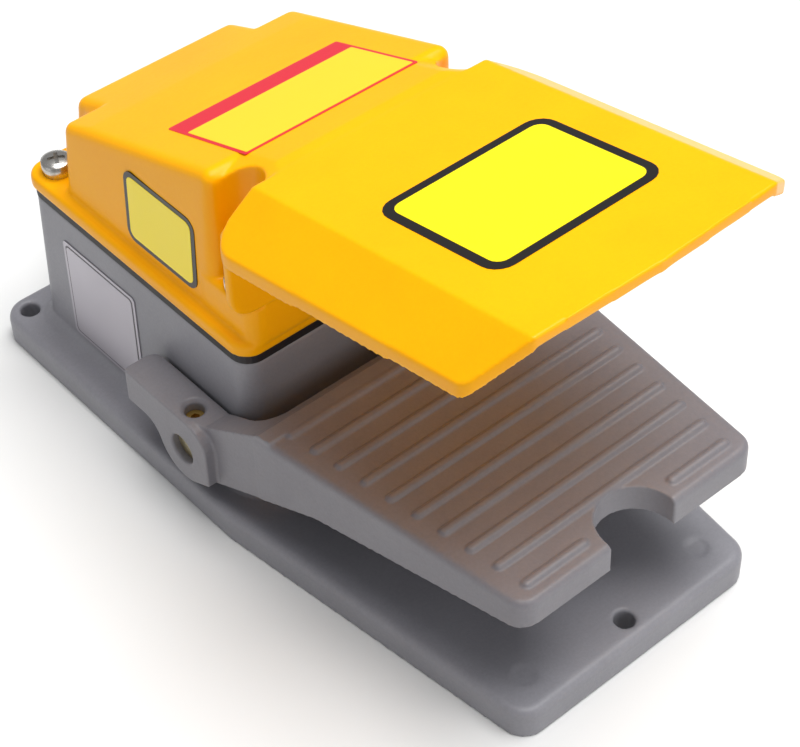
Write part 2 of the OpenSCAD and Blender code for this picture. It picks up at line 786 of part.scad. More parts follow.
// Side view of skirt and arm: their lower edge runs as a tangent onto the ear's round
module skirt_side() {
    bend_z = pedal_top(skirt_bend_y) - skirt_bend_h;
    dy = pivot_y - skirt_bend_y;
    dz = pivot_z - bend_z;
    span = sqrt(dy * dy + dz * dz);
    down = atan2(dz, dy) - asin(ear_r / span);
    run = sqrt(span * span - ear_r * ear_r);
    polygon([[pedal_y0 - over, pedal_top(pedal_y0) + over],
        [pedal_y0 - over, pedal_top(pedal_y0) - lip_h], [skirt_bend_y, bend_z],
        [skirt_bend_y + run * cos(down), bend_z + run * sin(down)],
        [pivot_y, pivot_z], [pivot_y, pivot_z + ear_top],
        [pivot_y - ear_front * 0.7, pivot_z + ear_top],
        [shoulder_y, pedal_top(shoulder_y)], [shoulder_y - over, pedal_top(shoulder_y) + over]]);
}

module arms() {
    intersection() {
        side_slab(2 * ear_x1) skirt_side();
        linear_extrude(2 * pedal_z) polygon(both_sides([
            [0, shoulder_y - pedal_r], [pedal_half(shoulder_y - pedal_r) - lap,
            shoulder_y - pedal_r], [pedal_half(pivot_y), pivot_y], [0, pivot_y]]));
    }
}

// Side view of an ear about the shaft: round below, an upright front edge, and the tail
module ear_side() {
    low = ear_top - tail_h;
    cz = low - tail_r;
    cy = sqrt((ear_r + tail_r) * (ear_r + tail_r) - cz * cz);
    reach = sqrt(ear_front * ear_front + ear_low * ear_low);
    touch = atan2(-ear_low, -ear_front) + acos(ear_r / reach);
    circle(ear_r);
    polygon(concat([[0, low], [ear_r * cos(touch), ear_r * sin(touch)], [-ear_front, -ear_low]],
        arc(ear_front_r - ear_front, ear_top - ear_front_r, ear_front_r, 180, 90),
        [[ear_tail, ear_top], [ear_tail, low]]));
    difference() {
        polygon([[0, 0], [cy, low + lap], [cy, cz]]);
        translate([cy, cz]) circle(tail_r);
    }
}

module ears() {
    y0 = pivot_y - 2 * ear_r;
    y1 = pivot_y + ear_tail;
    intersection() {
        at_pivot() side_slab(2 * ear_x1) ear_side();
        mirrored() linear_extrude(pedal_z) polygon(concat([[ear_x0, y0], [ear_x1, y0]],
            arc(ear_x1 - tail_outer_r, y1 - tail_outer_r, tail_outer_r, 0, 90),
            arc(ear_x0 + tail_inner_r, y1 - tail_inner_r, tail_inner_r, 90, 180)));
    }
}

module pedal_rib(x0, x1, s) {
    r = rib_w / 2;
    at_pedal_top() translate([x0, s, rib_h - rib_bar_r]) rotate([0, 90, 0]) rotate_extrude()
        intersection() {
            union() {
                translate([0, r]) square([rib_bar_r, x1 - x0 - 2 * r]);
                for (y = [r, x1 - x0 - r]) translate([0, y]) circle(rib_bar_r);
            }
            translate([0, -rib_bar_r]) square([rib_bar_r, x1 - x0 + 2 * rib_bar_r]);
        }
}

module pedal_ribs() {
    for (i = [0:rib_rows - 1]) {
        s = rib_front + i * rib_pitch;
        half = pedal_half(pedal_y0 + s) - rib_margin;
        if (s - rib_w / 2 < notch_r + pedal_wall - rib_w) mirrored()
            pedal_rib(notch_r + rib_w, half, s);
        else pedal_rib(-half, half, s);
    }
}

module pedal_hollow() {
    y0 = pedal_y0 + pedal_wall;
    y1 = pedal_y1 - pedal_wall;
    intersection() {
        side_slab(2 * ear_x1) polygon([[y0, 0], [y1, 0], [y1, pedal_top(y1) - pedal_wall],
            [y0, pedal_top(y0) - pedal_wall]]);
        linear_extrude(pedal_z) polygon(both_sides([[0, y0], [pedal_half(y0) - pedal_wall, y0],
            [pedal_half(y1) - pedal_wall, y1], [0, y1]]));
    }
}

module rear_cut() {
    translate([0, 0, -over]) linear_extrude(2 * pedal_z) polygon(both_sides(concat(
        [[0, pedal_y1]], arc(ear_x0 - cut_r, pedal_y1 + cut_r, cut_r, -90, 0),
        [[ear_x0, rear_wall], [0, rear_wall]])));
}

module pedal() {
    color("#77716f") difference() {
        union() {
            difference() {
                union() {
                    intersection() {
                        treadle_block();
                        side_slab(2 * ear_x1) skirt_side();
                    }
                    arms();
                }
                difference() {
                    pedal_hollow();
                    translate([0, notch_y, 0]) cylinder(r = notch_r + pedal_wall, h = pedal_z);
                }
            }
            pedal_ribs();
            ears();
        }
        rear_cut();
        translate([0, notch_y, 0]) cylinder(r = notch_r, h = 2 * pedal_z);
        translate([-notch_r, notch_y - 2 * notch_r, 0]) cube([2 * notch_r, 2 * notch_r, 2 * pedal_z]);
        translate([0, notch_y, 0])
            cylinder(r = notch_r + pedal_wall + lap, h = pedal_top(notch_y) - lip_h);
        mirrored() at_pivot() {
            bar(shaft_d / 2 + shaft_play, ear_x0 - over, ear_x1 + over);
            translate([ear_x1 - bore_chamfer, 0, 0]) rotate([0, 90, 0])
                cylinder(r1 = shaft_d / 2 + shaft_play,
                    r2 = shaft_d / 2 + shaft_play + 2 * bore_chamfer, h = 2 * bore_chamfer);
            translate([(ear_x0 + ear_x1) / 2, 0, 0]) {
                cylinder(d = set_d + 2 * screw_play, h = ear_tail);
                translate([0, 0, ear_top - set_chamfer]) cylinder(r1 = set_d / 2 + screw_play,
                    r2 = set_d / 2 + screw_play + 2 * set_chamfer, h = 2 * set_chamfer);
            }
        }
    }
}

module set_screws() {
    deep = set_d * 0.8;
    socket_r = set_d / 4;
    color("#8d7a4c") mirrored() at_pivot() translate([(ear_x0 + ear_x1) / 2, 0, shaft_d / 2])
        difference() {
            cylinder(d = set_d, h = deep);
            translate([0, 0, deep / 2]) cylinder(r = socket_r, h = deep, $fn = 6);
        }
}

// Cam lever
spring_guide_h = 3;
guide_play = 0.9;      // radial clearance of the spring on its guides
guide_r = spring_r - wire_d / 2 - guide_play;
pad_t = 4.5;
pad_ledge = 0.9;       // ledge of the pad round the spring
pad_r = spring_r + wire_d / 2 + pad_ledge;
spring_seat_z = pivot_z + pad_t;

module cam_lever() {
    color("#7d7f84") difference() {
        at_pivot() {
            bar(hub_r, -hub_w / 2, hub_w / 2);
            side_slab(arm_w) {
                translate([0, -arm_h / 2]) square([nose_reach, arm_h]);
                translate([nose_reach, 0]) circle(nose_r);
            }
            translate([0, spring_reach, 0]) {
                cylinder(r = pad_r, h = pad_t);
                cylinder(r = guide_r, h = pad_t + spring_guide_h);
            }
        }
        at_pivot() {
            bar(shaft_d / 2 + shaft_play, -hub_w, hub_w);
            cylinder(d = screw_d + 2 * screw_play, h = 2 * hub_r);
        }
    }
}

module cam_screw() {
    color("#55565a") at_pivot() translate([0, 0, shaft_d / 2]) difference() {
        cylinder(d = screw_d, h = hub_r - shaft_d / 2);
        translate([0, 0, (hub_r - shaft_d / 2) / 2]) cylinder(d = screw_d / 2, h = hub_r, $fn = 6);
    }
}

// Return spring between the lever's pad and the bracket's tab
spring_y = pivot_y + spring_reach;
spring_z0 = spring_seat_z + gap;
tab_z = spring_z0 + spring_h;

// Centre line of the wire: a flat end turn, the free turns, and a flat end turn
function coil_z(u) = let (n = spring_turns + 2, t = u * n,
    free = spring_h - 3 * wire_d, low = wire_d / 2)
    spring_z0 + low + (t < 1 ? t * wire_d : t > n - 1 ? free + wire_d + (t - n + 1) * wire_d :
        wire_d + free * (t - 1) / (n - 2));

module return_spring() {
    sides = 6;
    steps = 10 * (spring_turns + 2);
    r = wire_d / 2 * 0.98;
    pts = [for (i = [0:steps]) let (u = i / steps, a = 360 * u * (spring_turns + 2))
        for (k = [0:sides - 1]) let (b = 360 * k / sides + 30)
            [(spring_r + r * cos(b)) * cos(a), spring_y + (spring_r + r * cos(b)) * sin(a),
            coil_z(u) + r * sin(b)]];
    walls = [for (i = [0:steps - 1], k = [0:sides - 1]) let (a = i * sides + k,
        b = i * sides + (k + 1) % sides) each [[a, b, a + sides], [b, b + sides, a + sides]]];
    ends = [for (k = [1:sides - 2]) each [[0, k + 1, k],
        [steps * sides, steps * sides + k, steps * sides + k + 1]]];
    color("#8f9296") polyhedron(pts, [for (f = concat(walls, ends)) [f[0], f[2], f[1]]]);
}

module stop_pad() {
    color("#232122") translate([0, stop_y, stop_seat]) cylinder(r = stop_r, h = stop_h);
}

// Switch unit: the lever turns as far as the pedal, about a pin as far from the roller as the
// nose is from the shaft
roller_z = pivot_z + nose_r + gap + roller_r;
pin_y = roller_y + nose_reach * cos(press_angle / 2);
pin_z = roller_z + nose_reach * sin(press_angle / 2);
roller_pin_r = pin_d / 2;
strip_play = 0.6;      // between roller and strip
case_play = 1.2;       // between the raised strip and the case
strip_z = roller_r + strip_play;
case_z = pin_z + strip_z + strip_t + nose_reach * sin(press_angle / 2) + case_play;
hole_share = 0.24;
case_holes = [case_y0 + case_len * hole_share, case_y1 - case_len * hole_share];
case_hole_z = case_z + case_h * 0.6;
plunger_y = (roller_y + pin_y) / 2;
plunger_in = 6;        // length of the plunger inside the case
lug_w = strip_w - 2 * strip_t - 2 * gap;

module at_lever_pin() { translate([0, pin_y, pin_z]) rotate([press_angle / 2, 0, 0]) children(); }

module switch_case() {
    lug_r = pin_d / 2 + 1.5 * strip_t;
    color("#26262a") difference() {
        union() {
            translate([-case_w / 2, case_y0, case_z]) cube([case_w, case_len, case_h]);
            translate([0, pin_y, 0]) side_slab(lug_w) {
                translate([0, pin_z]) circle(lug_r);
                translate([-lug_r, pin_z]) square([2 * lug_r, case_z - pin_z + over]);
            }
        }
        translate([0, pin_y, pin_z]) bar(roller_pin_r + shaft_play, -case_w, case_w);
        for (y = case_holes) translate([0, y, case_hole_z])
            bar(small_d / 2 + screw_play, -case_w, case_w);
        translate([0, plunger_y, case_z - over])
            cylinder(d = plunger_d + 2 * shaft_play, h = over + 2 * plunger_in);
    }
}

module lever_pin() {
    color("#aaa69e") translate([0, pin_y, pin_z]) bar(roller_pin_r, -strip_w / 2, strip_w / 2);
}

module switch_lever() {
    cheek_r = pin_d / 2 + 1.2 * strip_t;
    color("#b3b1ac") at_lever_pin() difference() {
        union() {
            translate([-strip_w / 2, -nose_reach - cheek_r, strip_z])
                cube([strip_w, nose_reach + 2 * cheek_r, strip_t]);
            for (x = [-1, 1]) side_slab(strip_t, x * (strip_w - strip_t) / 2)
                for (y = [-nose_reach, 0]) {
                    translate([y, 0]) circle(cheek_r);
                    translate([y - cheek_r, 0]) square([2 * cheek_r, strip_z + strip_t / 2]);
                }
        }
        bar(roller_pin_r + shaft_play, -strip_w, strip_w);
        translate([0, -nose_reach, 0]) bar(roller_pin_r + shaft_play, -strip_w, strip_w);
        translate([-strip_w / 2 + strip_t, -cheek_r - over, 0])
            cube([strip_w - 2 * strip_t, 2 * cheek_r + 2 * over, strip_z + strip_t + over]);
    }
}

module roller_pin() {
    color("#aaa69e") at_lever_pin() translate([0, -nose_reach, 0])
        bar(roller_pin_r, -strip_w / 2 - gap, strip_w / 2 + gap);
}

module lever_roller() {
    color("#d8d4c8") at_lever_pin() translate([-roller_w / 2, -nose_reach, 0])
        rotate([0, 90, 0]) ring(roller_r, roller_pin_r + shaft_play, roller_w);
}

module switch_plunger() {
    foot = pin_z + (strip_z + strip_t) / cos(press_angle / 2) + gap
        - (pin_y - plunger_y) * tan(press_angle / 2) + plunger_d / 2 * tan(press_angle / 2);
    color("#a03028") translate([0, plunger_y, foot])
        cylinder(d = plunger_d, h = case_z + plunger_in - foot);
}

// Bracket: foot on the floor, upright plate beside the case, arm and tab over the spring
bracket_x = case_w / 2;
tab_half = spring_r + wire_d;

module switch_bracket() {
    top = case_z + case_h * 0.9;
    color("#b4b6b8") difference() {
        union() {
            side_slab(bracket_t, bracket_x + bracket_t / 2) {
                translate([case_y0, seat_z]) square([case_len, top - seat_z]);
                translate([spring_y - tab_half, tab_z])
                    square([case_y0 - spring_y + tab_half + over, bracket_t + 2 * screw_d]);
            }
            translate([bracket_x, case_y0, seat_z])
                cube([foot_x + seat_r - bracket_x, case_len, bracket_t]);
            translate([-tab_half, spring_y - tab_half, tab_z])
                cube([bracket_x + tab_half + over, 2 * tab_half, bracket_t]);
            translate([0, spring_y, tab_z - spring_guide_h])
                cylinder(r = guide_r, h = spring_guide_h + over);
        }
        for (y = foot_y) translate([foot_x, y, 0])
            cylinder(r = small_d / 2 + screw_play, h = house_top);
        for (y = case_holes) translate([0, y, case_hole_z])
            bar(small_d / 2 + screw_play, 0, case_w);
    }
}

module small_screw(len) { pan_head_screw(small_d, 2 * small_d, small_d * 0.65, len); }

module bracket_screws() {
    color("#b0aeaa") for (y = foot_y) translate([foot_x, y, seat_z + bracket_t])
        small_screw(bracket_t + seat_z - base_h);
}

module switch_screws() {
    color("#b0aeaa") for (y = case_holes) translate([-case_w / 2, y, case_hole_z])
        rotate([0, -90, 0]) small_screw(case_w + bracket_t + small_d);
}

module switch_nuts() {
    color("#b0aeaa") for (y = case_holes)
        translate([bracket_x + bracket_t, y, case_hole_z]) rotate([0, 90, 0]) difference() {
            cylinder(r = small_d, h = small_d * 0.8, $fn = 6);
            translate([0, 0, -over])
                cylinder(r = small_d / 2 + screw_play, h = small_d + 2 * over);
        }
}

// Three terminals stand on top of the case
terminal_t = 1;
terminal_w = 8;
terminal_in = 1;       // from the case's sides to the terminals' ends
terminal_y = [for (i = [0:2]) case_y0 + case_len * (1 + 2 * i) / 6];

module switch_terminals() {
    color("#c8a04a") for (y = terminal_y) translate([0, y, case_z + case_h]) difference() {
        translate([-case_w / 2 + terminal_in, -terminal_w / 2, 0])
            cube([case_w - 2 * terminal_in, terminal_w, terminal_t]);
        translate([0, 0, -over]) cylinder(r = small_d / 2 + screw_play, h = terminal_t + 2 * over);
    }
}

module terminal_screws() {
    color("#b0aeaa") for (y = terminal_y) translate([0, y, case_z + case_h + terminal_t])
        small_screw(terminal_t - gap);
}

// Cable gland, from the inner end of its thread outwards
washer_t = 1.5;
hex_t = 6;
collar_len = 6;
nut_len = 15;
gland_wall = 3;
gland_af = gland_d + 2 * gland_lip;
collar_r = gland_d / 2 - 0.5 * screw_play;
gland_hex_r = gland_af / 2 / cos(30);

module along_inlet(y) { translate([0, y, inlet_z]) rotate([-90, 0, 0]) children(); }

module gland_body() {
    face = inlet_face + washer_t;
    color("#2b2b2e") difference() {
        union() {
            along_inlet(inlet_inner) cylinder(d = gland_d, h = face - inlet_inner + over);
            along_inlet(face) cylinder(r = gland_hex_r, h = hex_t, $fn = 6);
            along_inlet(face + hex_t) cylinder(r = collar_r, h = collar_len);
        }
        along_inlet(inlet_inner - over)
            cylinder(r = gland_d / 2 - gland_wall, h = inlet_len() + 2 * over);
    }
}

function inlet_len() = inlet_face + washer_t + hex_t + collar_len - inlet_inner;

module gland_washer() {
    color("#1a1a1a") along_inlet(inlet_face)
        ring(gland_af / 2, gland_d / 2 + screw_play, washer_t);
}

module gland_seal() {
    color("#3a3a3c") along_inlet(inlet_face + washer_t + hex_t)
        ring(gland_d / 2 - gland_wall - screw_play, inlet_d / 2, collar_len);
}

module gland_nut() {
    color("#2b2b2e") along_inlet(inlet_face + washer_t + hex_t) difference() {
        union() {
            cylinder(r = gland_hex_r, h = nut_len * 0.6, $fn = 6);
            cylinder(r1 = gland_af / 2, r2 = gland_af / 3, h = nut_len);
        }
        translate([0, 0, -over]) cylinder(r = collar_r + screw_play, h = collar_len + over);
        cylinder(d = inlet_d, h = nut_len + over);
    }
}

// Earth screw on its own boss
module earth_washer() {
    color("#b0aeaa") translate([earth_x, earth_y, seat_z])
        ring(small_d * 1.1, small_d / 2 + screw_play, small_d / 4);
}

module earth_screw() {
    color("#c8a04a") translate([earth_x, earth_y, seat_z + small_d / 4])
        small_screw(small_d / 4 + seat_z - base_h);
}

base_plate();
housing();
cover();
cover_gasket();
cover_screws();
spring_washers();
pivot_bushes();
shaft_seals();
switch_bracket();
bracket_screws();
switch_case();
switch_screws();
switch_nuts();
switch_terminals();
terminal_screws();
lever_pin();
return_spring();
stop_pad();
gland_body();
gland_washer();
gland_seal();
gland_nut();
earth_screw();
earth_washer();
pedal();
pivot_shaft();
set_screws();
cam_lever();
cam_screw();
switch_lever();
roller_pin();
lever_roller();
switch_plunger();
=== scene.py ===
import math

import bmesh
import bpy
from mathutils import Matrix, Vector


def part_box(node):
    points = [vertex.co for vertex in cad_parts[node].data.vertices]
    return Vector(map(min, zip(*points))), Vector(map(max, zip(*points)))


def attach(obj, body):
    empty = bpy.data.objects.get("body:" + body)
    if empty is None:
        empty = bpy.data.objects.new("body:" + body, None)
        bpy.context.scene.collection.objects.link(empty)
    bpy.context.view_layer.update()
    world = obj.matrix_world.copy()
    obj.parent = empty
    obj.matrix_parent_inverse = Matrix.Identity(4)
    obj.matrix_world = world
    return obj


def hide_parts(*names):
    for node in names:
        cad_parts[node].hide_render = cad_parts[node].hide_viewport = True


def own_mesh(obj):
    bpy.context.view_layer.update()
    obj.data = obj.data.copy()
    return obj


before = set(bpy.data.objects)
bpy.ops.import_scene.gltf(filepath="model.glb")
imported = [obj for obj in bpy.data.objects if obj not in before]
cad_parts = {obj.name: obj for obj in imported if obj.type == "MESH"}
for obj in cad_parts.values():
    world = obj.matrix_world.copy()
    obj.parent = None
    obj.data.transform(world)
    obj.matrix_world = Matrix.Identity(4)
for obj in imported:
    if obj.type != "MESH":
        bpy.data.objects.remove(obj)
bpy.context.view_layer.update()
MM = 0.001


# View of the foot switch
# The camera stands in front, to the left and above, far off with a long lens, so that the
# object's parallel edges stay nearly parallel.
def add_object(name, data):
    """A new object in the scene, at the origin, for a mesh, a camera or a lamp."""
    made = bpy.data.objects.new(name, data)
    bpy.context.scene.collection.objects.link(made)
    return made


camera_azimuth = math.radians(-40.32)
camera_elevation = math.radians(44.64)
camera_roll = math.radians(-1.23)
camera_place = Vector((-297.7, -365.7, 493.1)) * MM
camera_lens = 95.6
sensor_width = 36.0

back = Vector((math.sin(camera_azimuth) * math.cos(camera_elevation),
               -math.cos(camera_azimuth) * math.cos(camera_elevation),
               math.sin(camera_elevation)))
right = Vector((0, 0, 1)).cross(back).normalized()
up = back.cross(right)
turn = Matrix.Rotation(camera_roll, 3, back)
axes = Matrix((turn @ right, turn @ up, back)).transposed()
view = bpy.data.cameras.new("view")
view.lens = camera_lens
view.sensor_width = sensor_width
camera = add_object("view", view)
camera.matrix_world = Matrix.Translation(camera_place) @ axes.to_4x4()
bpy.context.scene.camera = camera
bpy.context.scene.view_settings.view_transform = "Standard"


# Floor and studio light
# A pale matt floor, a broad soft lamp overhead to the right, and weaker ones that fill the left
# side and the front.
def linear(colour):
    """An sRGB hex colour as the linear values that Blender's sockets take."""
    parts = [int(colour[i:i + 2], 16) / 255 for i in (1, 3, 5)]
    return [c / 12.92 if c <= 0.04045 else ((c + 0.055) / 1.055) ** 2.4 for c in parts] + [1.0]


def add_node(tree, kind, settings=None, inputs=None):
    """Adds a node, with its own settings, and its inputs set or linked."""
    node = tree.nodes.new(kind)
    for name, value in (settings or {}).items():
        setattr(node, name, value)
    for name, value in (inputs or {}).items():
        if isinstance(value, bpy.types.NodeSocket):
            tree.links.new(value, node.inputs[name])
        else:
            node.inputs[name].default_value = value
    return node


def new_material(name):
    """A material with a lone Principled shader; returns the material, its tree and the shader."""
    material = bpy.data.materials.new(name)
    material.use_nodes = True
    return material, material.node_tree, material.node_tree.nodes["Principled BSDF"]


def add_shape(name, shape):
    """A finished bmesh as a new object in the scene."""
    mesh = bpy.data.meshes.new(name)
    shape.to_mesh(mesh)
    shape.free()
    return add_object(name, mesh)


floor_half = 1.6
floor_roughness = 0.8
floor_material, tree, shader = new_material("pale_floor")
shader.inputs["Base Color"].default_value = linear("#EDEDEC")
shader.inputs["Roughness"].default_value = floor_roughness
ground = bmesh.new()
bmesh.ops.create_grid(ground, x_segments=1, y_segments=1, size=floor_half)
floor = add_shape("floor", ground)
floor.data.materials.append(floor_material)

studio_strength = 0.36
world = bpy.data.worlds.new("studio")
world.use_nodes = True
world.node_tree.nodes["Background"].inputs["Color"].default_value = linear("#F4F5F7")
world.node_tree.nodes["Background"].inputs["Strength"].default_value = studio_strength
bpy.context.scene.world = world

lit_point = Vector((0, 0, 0.05))


def add_lamp(name, place, size, power):
    """A square soft lamp, its place and size in metres and its power in watts, turned to the
    object."""
    lamp = bpy.data.lights.new(name, "AREA")
    lamp.size = size
    lamp.energy = power
    lamp_object = add_object(name, lamp)
    lamp_object.location = place
    lamp_object.rotation_euler = (Vector(place) - lit_point).to_track_quat("Z", "Y").to_euler()


for lamp_row in (("overhead", (0.22, -0.12, 1.25), 1.0, 21.0),
                 ("front_fill", (0.35, -1.2, 0.6), 0.8, 3.0),
                 ("left_fill", (-1.2, 0.2, 0.5), 0.8, 0.8)):
    add_lamp(*lamp_row)


# Base casting
# Base plate and housing are one sand casting in aluminium alloy, blasted and sprayed grey, with
# softly rounded edges and a fine sandy skin.
weld = 0.002 * MM


def joined_copy(node_names, name):
    """A copy of CAD nodes as one piece, whose loose triangles are joined at their corners."""
    whole = bmesh.new()
    for node_name in node_names:
        whole.from_mesh(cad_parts[node_name].data)
    bmesh.ops.remove_doubles(whole, verts=whole.verts, dist=weld)
    return add_shape(name, whole)


def apply_modifiers(piece):
    """Gives a piece the mesh that its modifiers show."""
    bpy.context.view_layer.update()
    graph = bpy.context.evaluated_depsgraph_get()
    piece.data = bpy.data.meshes.new_from_object(piece.evaluated_get(graph))
    piece.modifiers.clear()


def casting_copy(node_names, name, voxel_mm, smooth_rounds, most_faces):
    """A copy of CAD nodes, fused, whose edges are softened as a casting's are: the skin is rebuilt
    in small even faces, smoothed, and thinned to most_faces."""
    piece = joined_copy(node_names, name)
    skin = piece.modifiers.new("skin", "REMESH")
    skin.mode = "VOXEL"
    skin.voxel_size = voxel_mm * MM
    soften = piece.modifiers.new("soften", "SMOOTH")
    soften.factor = 0.5
    soften.iterations = smooth_rounds
    apply_modifiers(piece)
    faces = len(piece.data.polygons)
    if faces > most_faces:
        thin = piece.modifiers.new("thin", "DECIMATE")
        thin.ratio = most_faces / (2 * faces)
        thin.use_collapse_triangulate = True
        apply_modifiers(piece)
    for face in piece.data.polygons:
        face.use_smooth = True
    return piece


def dress(piece, material, body, slot, *replaced):
    """Gives a piece its one material and its body, and hides the CAD nodes it stands for; slot is
    not used.
    """
    piece.data.materials.clear()
    piece.data.materials.append(material)
    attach(piece, body)
    if replaced:
        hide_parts(*replaced)


def sprayed_casting(name, colour, dark_colour, grain_mm, grain_depth_mm, roughness, shine):
    """Paint sprayed on a casting: the sandy skin shows through as fine bumps on a slow wave, and
    the colour drifts and speckles a little where the coat is thinner."""
    drift_mm, speck_mm, wave_mm = 35.0, 1.1, 7 * grain_mm
    material, tree, shader = new_material(name)
    place = add_node(tree, "ShaderNodeTexCoord").outputs["Object"]
    drift = add_node(tree, "ShaderNodeTexNoise", inputs={
        "Vector": place, "Scale": 1 / (drift_mm * MM), "Detail": 4.0, "Roughness": 0.6})
    speck = add_node(tree, "ShaderNodeTexNoise", inputs={
        "Vector": place, "Scale": 1 / (speck_mm * MM), "Detail": 2.0, "Roughness": 0.7})
    both = add_node(tree, "ShaderNodeMath", {"operation": "MULTIPLY_ADD"}, {
        0: speck.outputs["Fac"], 1: 0.55, 2: drift.outputs["Fac"]})
    span = add_node(tree, "ShaderNodeMapRange", inputs={
        "Value": both.outputs[0], "From Min": 0.45, "From Max": 1.05})
    mix = add_node(tree, "ShaderNodeMix", {"data_type": "RGBA"}, {
        "Factor": span.outputs["Result"], "A": linear(dark_colour), "B": linear(colour)})
    tree.links.new(mix.outputs["Result"], shader.inputs["Base Color"])
    grain = add_node(tree, "ShaderNodeTexNoise", inputs={
        "Vector": place, "Scale": 1 / (grain_mm * MM), "Detail": 3.0, "Roughness": 0.6})
    wave = add_node(tree, "ShaderNodeTexNoise", inputs={
        "Vector": place, "Scale": 1 / (wave_mm * MM), "Detail": 1.0})
    height = add_node(tree, "ShaderNodeMath", {"operation": "MULTIPLY_ADD"}, {
        0: wave.outputs["Fac"], 1: 1.5, 2: grain.outputs["Fac"]})
    bump = add_node(tree, "ShaderNodeBump", inputs={
        "Height": height.outputs[0], "Distance": grain_depth_mm * MM, "Strength": 1.0})
    tree.links.new(bump.outputs["Normal"], shader.inputs["Normal"])
    gloss = add_node(tree, "ShaderNodeMapRange", inputs={
        "Value": grain.outputs["Fac"], "To Min": roughness - 0.06, "To Max": roughness + 0.08})
    tree.links.new(gloss.outputs["Result"], shader.inputs["Roughness"])
    shader.inputs["Specular IOR Level"].default_value = shine
    return material


grey_spray = sprayed_casting("sprayed_grey_casting", "#8E8D93", "#7F7E84", 0.9, 0.05, 0.42, 0.5)
base_nodes = ("base_plate", "housing")
dress(casting_copy(base_nodes, "base_casting", 0.65, 5, 150000), grey_spray, "root",
      "base_paint", *base_nodes)

# Cover
# Box, neck and guard are one aluminium casting in glossy yellow, with softer edges than the base
# and the slight ripple of a thick coat.
yellow_coat = sprayed_casting("yellow_powder_coat", "#FFB400", "#FCAA00", 1.2, 0.02, 0.3, 0.16)
dress(casting_copy(["cover"], "cover_skin", 0.55, 8, 180000), yellow_coat, "root",
      "cover_paint", "cover")


# Sign foils and rating plate
# Thin coloured foils stuck on the cover, and a foil plate with a lined edge on the housing. Each
# is a stack of flat fields, every field a hair thicker than the one it lies on.
def stuck_field(name, colour, slot, centre, across, along, size, corner, thick_mm,
                roughness=0.3, metallic=0.0, sunk_mm=0.0):
    """A round-cornered flat field, size (across, along) in mm, lying on the plane through centre
    that the two directions span. It reaches sunk_mm below that plane, where the casting twists."""
    field = bmesh.new()
    bmesh.ops.create_grid(field, x_segments=1, y_segments=1, size=0.5)
    bmesh.ops.scale(field, verts=field.verts, vec=(size[0], size[1], 1))
    bmesh.ops.bevel(field, geom=field.verts[:], affect="VERTICES", offset=corner, segments=5,
                    profile=0.5, material=-1)
    grown = bmesh.ops.extrude_face_region(field, geom=field.faces[:])
    lifted = [v for v in grown["geom"] if isinstance(v, bmesh.types.BMVert)]
    bmesh.ops.translate(field, verts=lifted, vec=(0, 0, thick_mm + sunk_mm))
    bmesh.ops.translate(field, verts=field.verts, vec=(0, 0, -sunk_mm))
    bmesh.ops.recalc_face_normals(field, faces=field.faces[:])
    across = Vector(across).normalized()
    along = Vector(along).normalized()
    lie = Matrix((across, along, across.cross(along))).transposed().to_4x4()
    bmesh.ops.transform(field, verts=field.verts,
                        matrix=Matrix.Translation(Vector(centre) * MM) @ Matrix.Scale(MM, 4) @ lie)
    piece = add_shape(name, field)
    cloud_mm = 12.0
    material, tree, shader = new_material(name + "_ink")
    place = add_node(tree, "ShaderNodeTexCoord").outputs["Object"]
    cloud = add_node(tree, "ShaderNodeTexNoise", inputs={
        "Vector": place, "Scale": 1 / (cloud_mm * MM)})
    rough = add_node(tree, "ShaderNodeMapRange", inputs={
        "Value": cloud.outputs["Fac"], "To Min": roughness - 0.05, "To Max": roughness + 0.08})
    tree.links.new(rough.outputs["Result"], shader.inputs["Roughness"])
    shader.inputs["Base Color"].default_value = linear(colour)
    shader.inputs["Metallic"].default_value = metallic
    dress(piece, material, "root", slot)


foil = 0.15
roof_slope = math.radians(19.0)
roof_crown = Vector((0, -0.5, 129.3))
uphill = Vector((0, -math.cos(roof_slope), math.sin(roof_slope)))

label_run = 32.5
label_size = (63.6, 40.0)
label_head = 9.0
label_rim = 1.1
field_shift = (label_head - label_rim) / 2
stuck_field("roof_label_red", "#D81830", "cover_paint", roof_crown - label_run * uphill,
            (1, 0, 0), -uphill, label_size, 0.6, foil)
stuck_field("roof_label_field", "#FFCF14", "cover_paint",
            roof_crown - (label_run - field_shift) * uphill, (1, 0, 0), -uphill,
            (label_size[0] - 2 * label_rim, label_size[1] - label_head - label_rim), 0.4,
            1.5 * foil)


def framed_sign(name, centre, across, along, size, border, corners, field_thick, sunk_mm=0.0):
    """A yellow field on a black one that shows as a border round it; corners are their radii."""
    field_size = (size[0] - 2 * border, size[1] - 2 * border)
    stuck_field(name + "_frame", "#15100E", "cover_paint", centre, across, along,
                size, corners[0], foil, sunk_mm=sunk_mm)
    stuck_field(name + "_field", "#FFE604", "cover_paint", centre, across, along,
                field_size, corners[1], field_thick, sunk_mm=sunk_mm)


guard_slope = math.radians(10.7)
guard_up = Vector((0, -math.cos(guard_slope), math.sin(guard_slope)))
guard_run = 65.0
framed_sign("guard_sign", roof_crown + guard_run * guard_up, (1, 0, 0), -guard_up,
            (60.0, 48.0), 3.0, (6.0, 3.5), 1.5 * foil)
framed_sign("side_sign", (-46.5, 36.5, 90.5), (0, -1, 0), (0.042, 0, 1),
            (34.0, 26.0), 1.7, (4.0, 2.5), 1.7 * foil, sunk_mm=0.5)

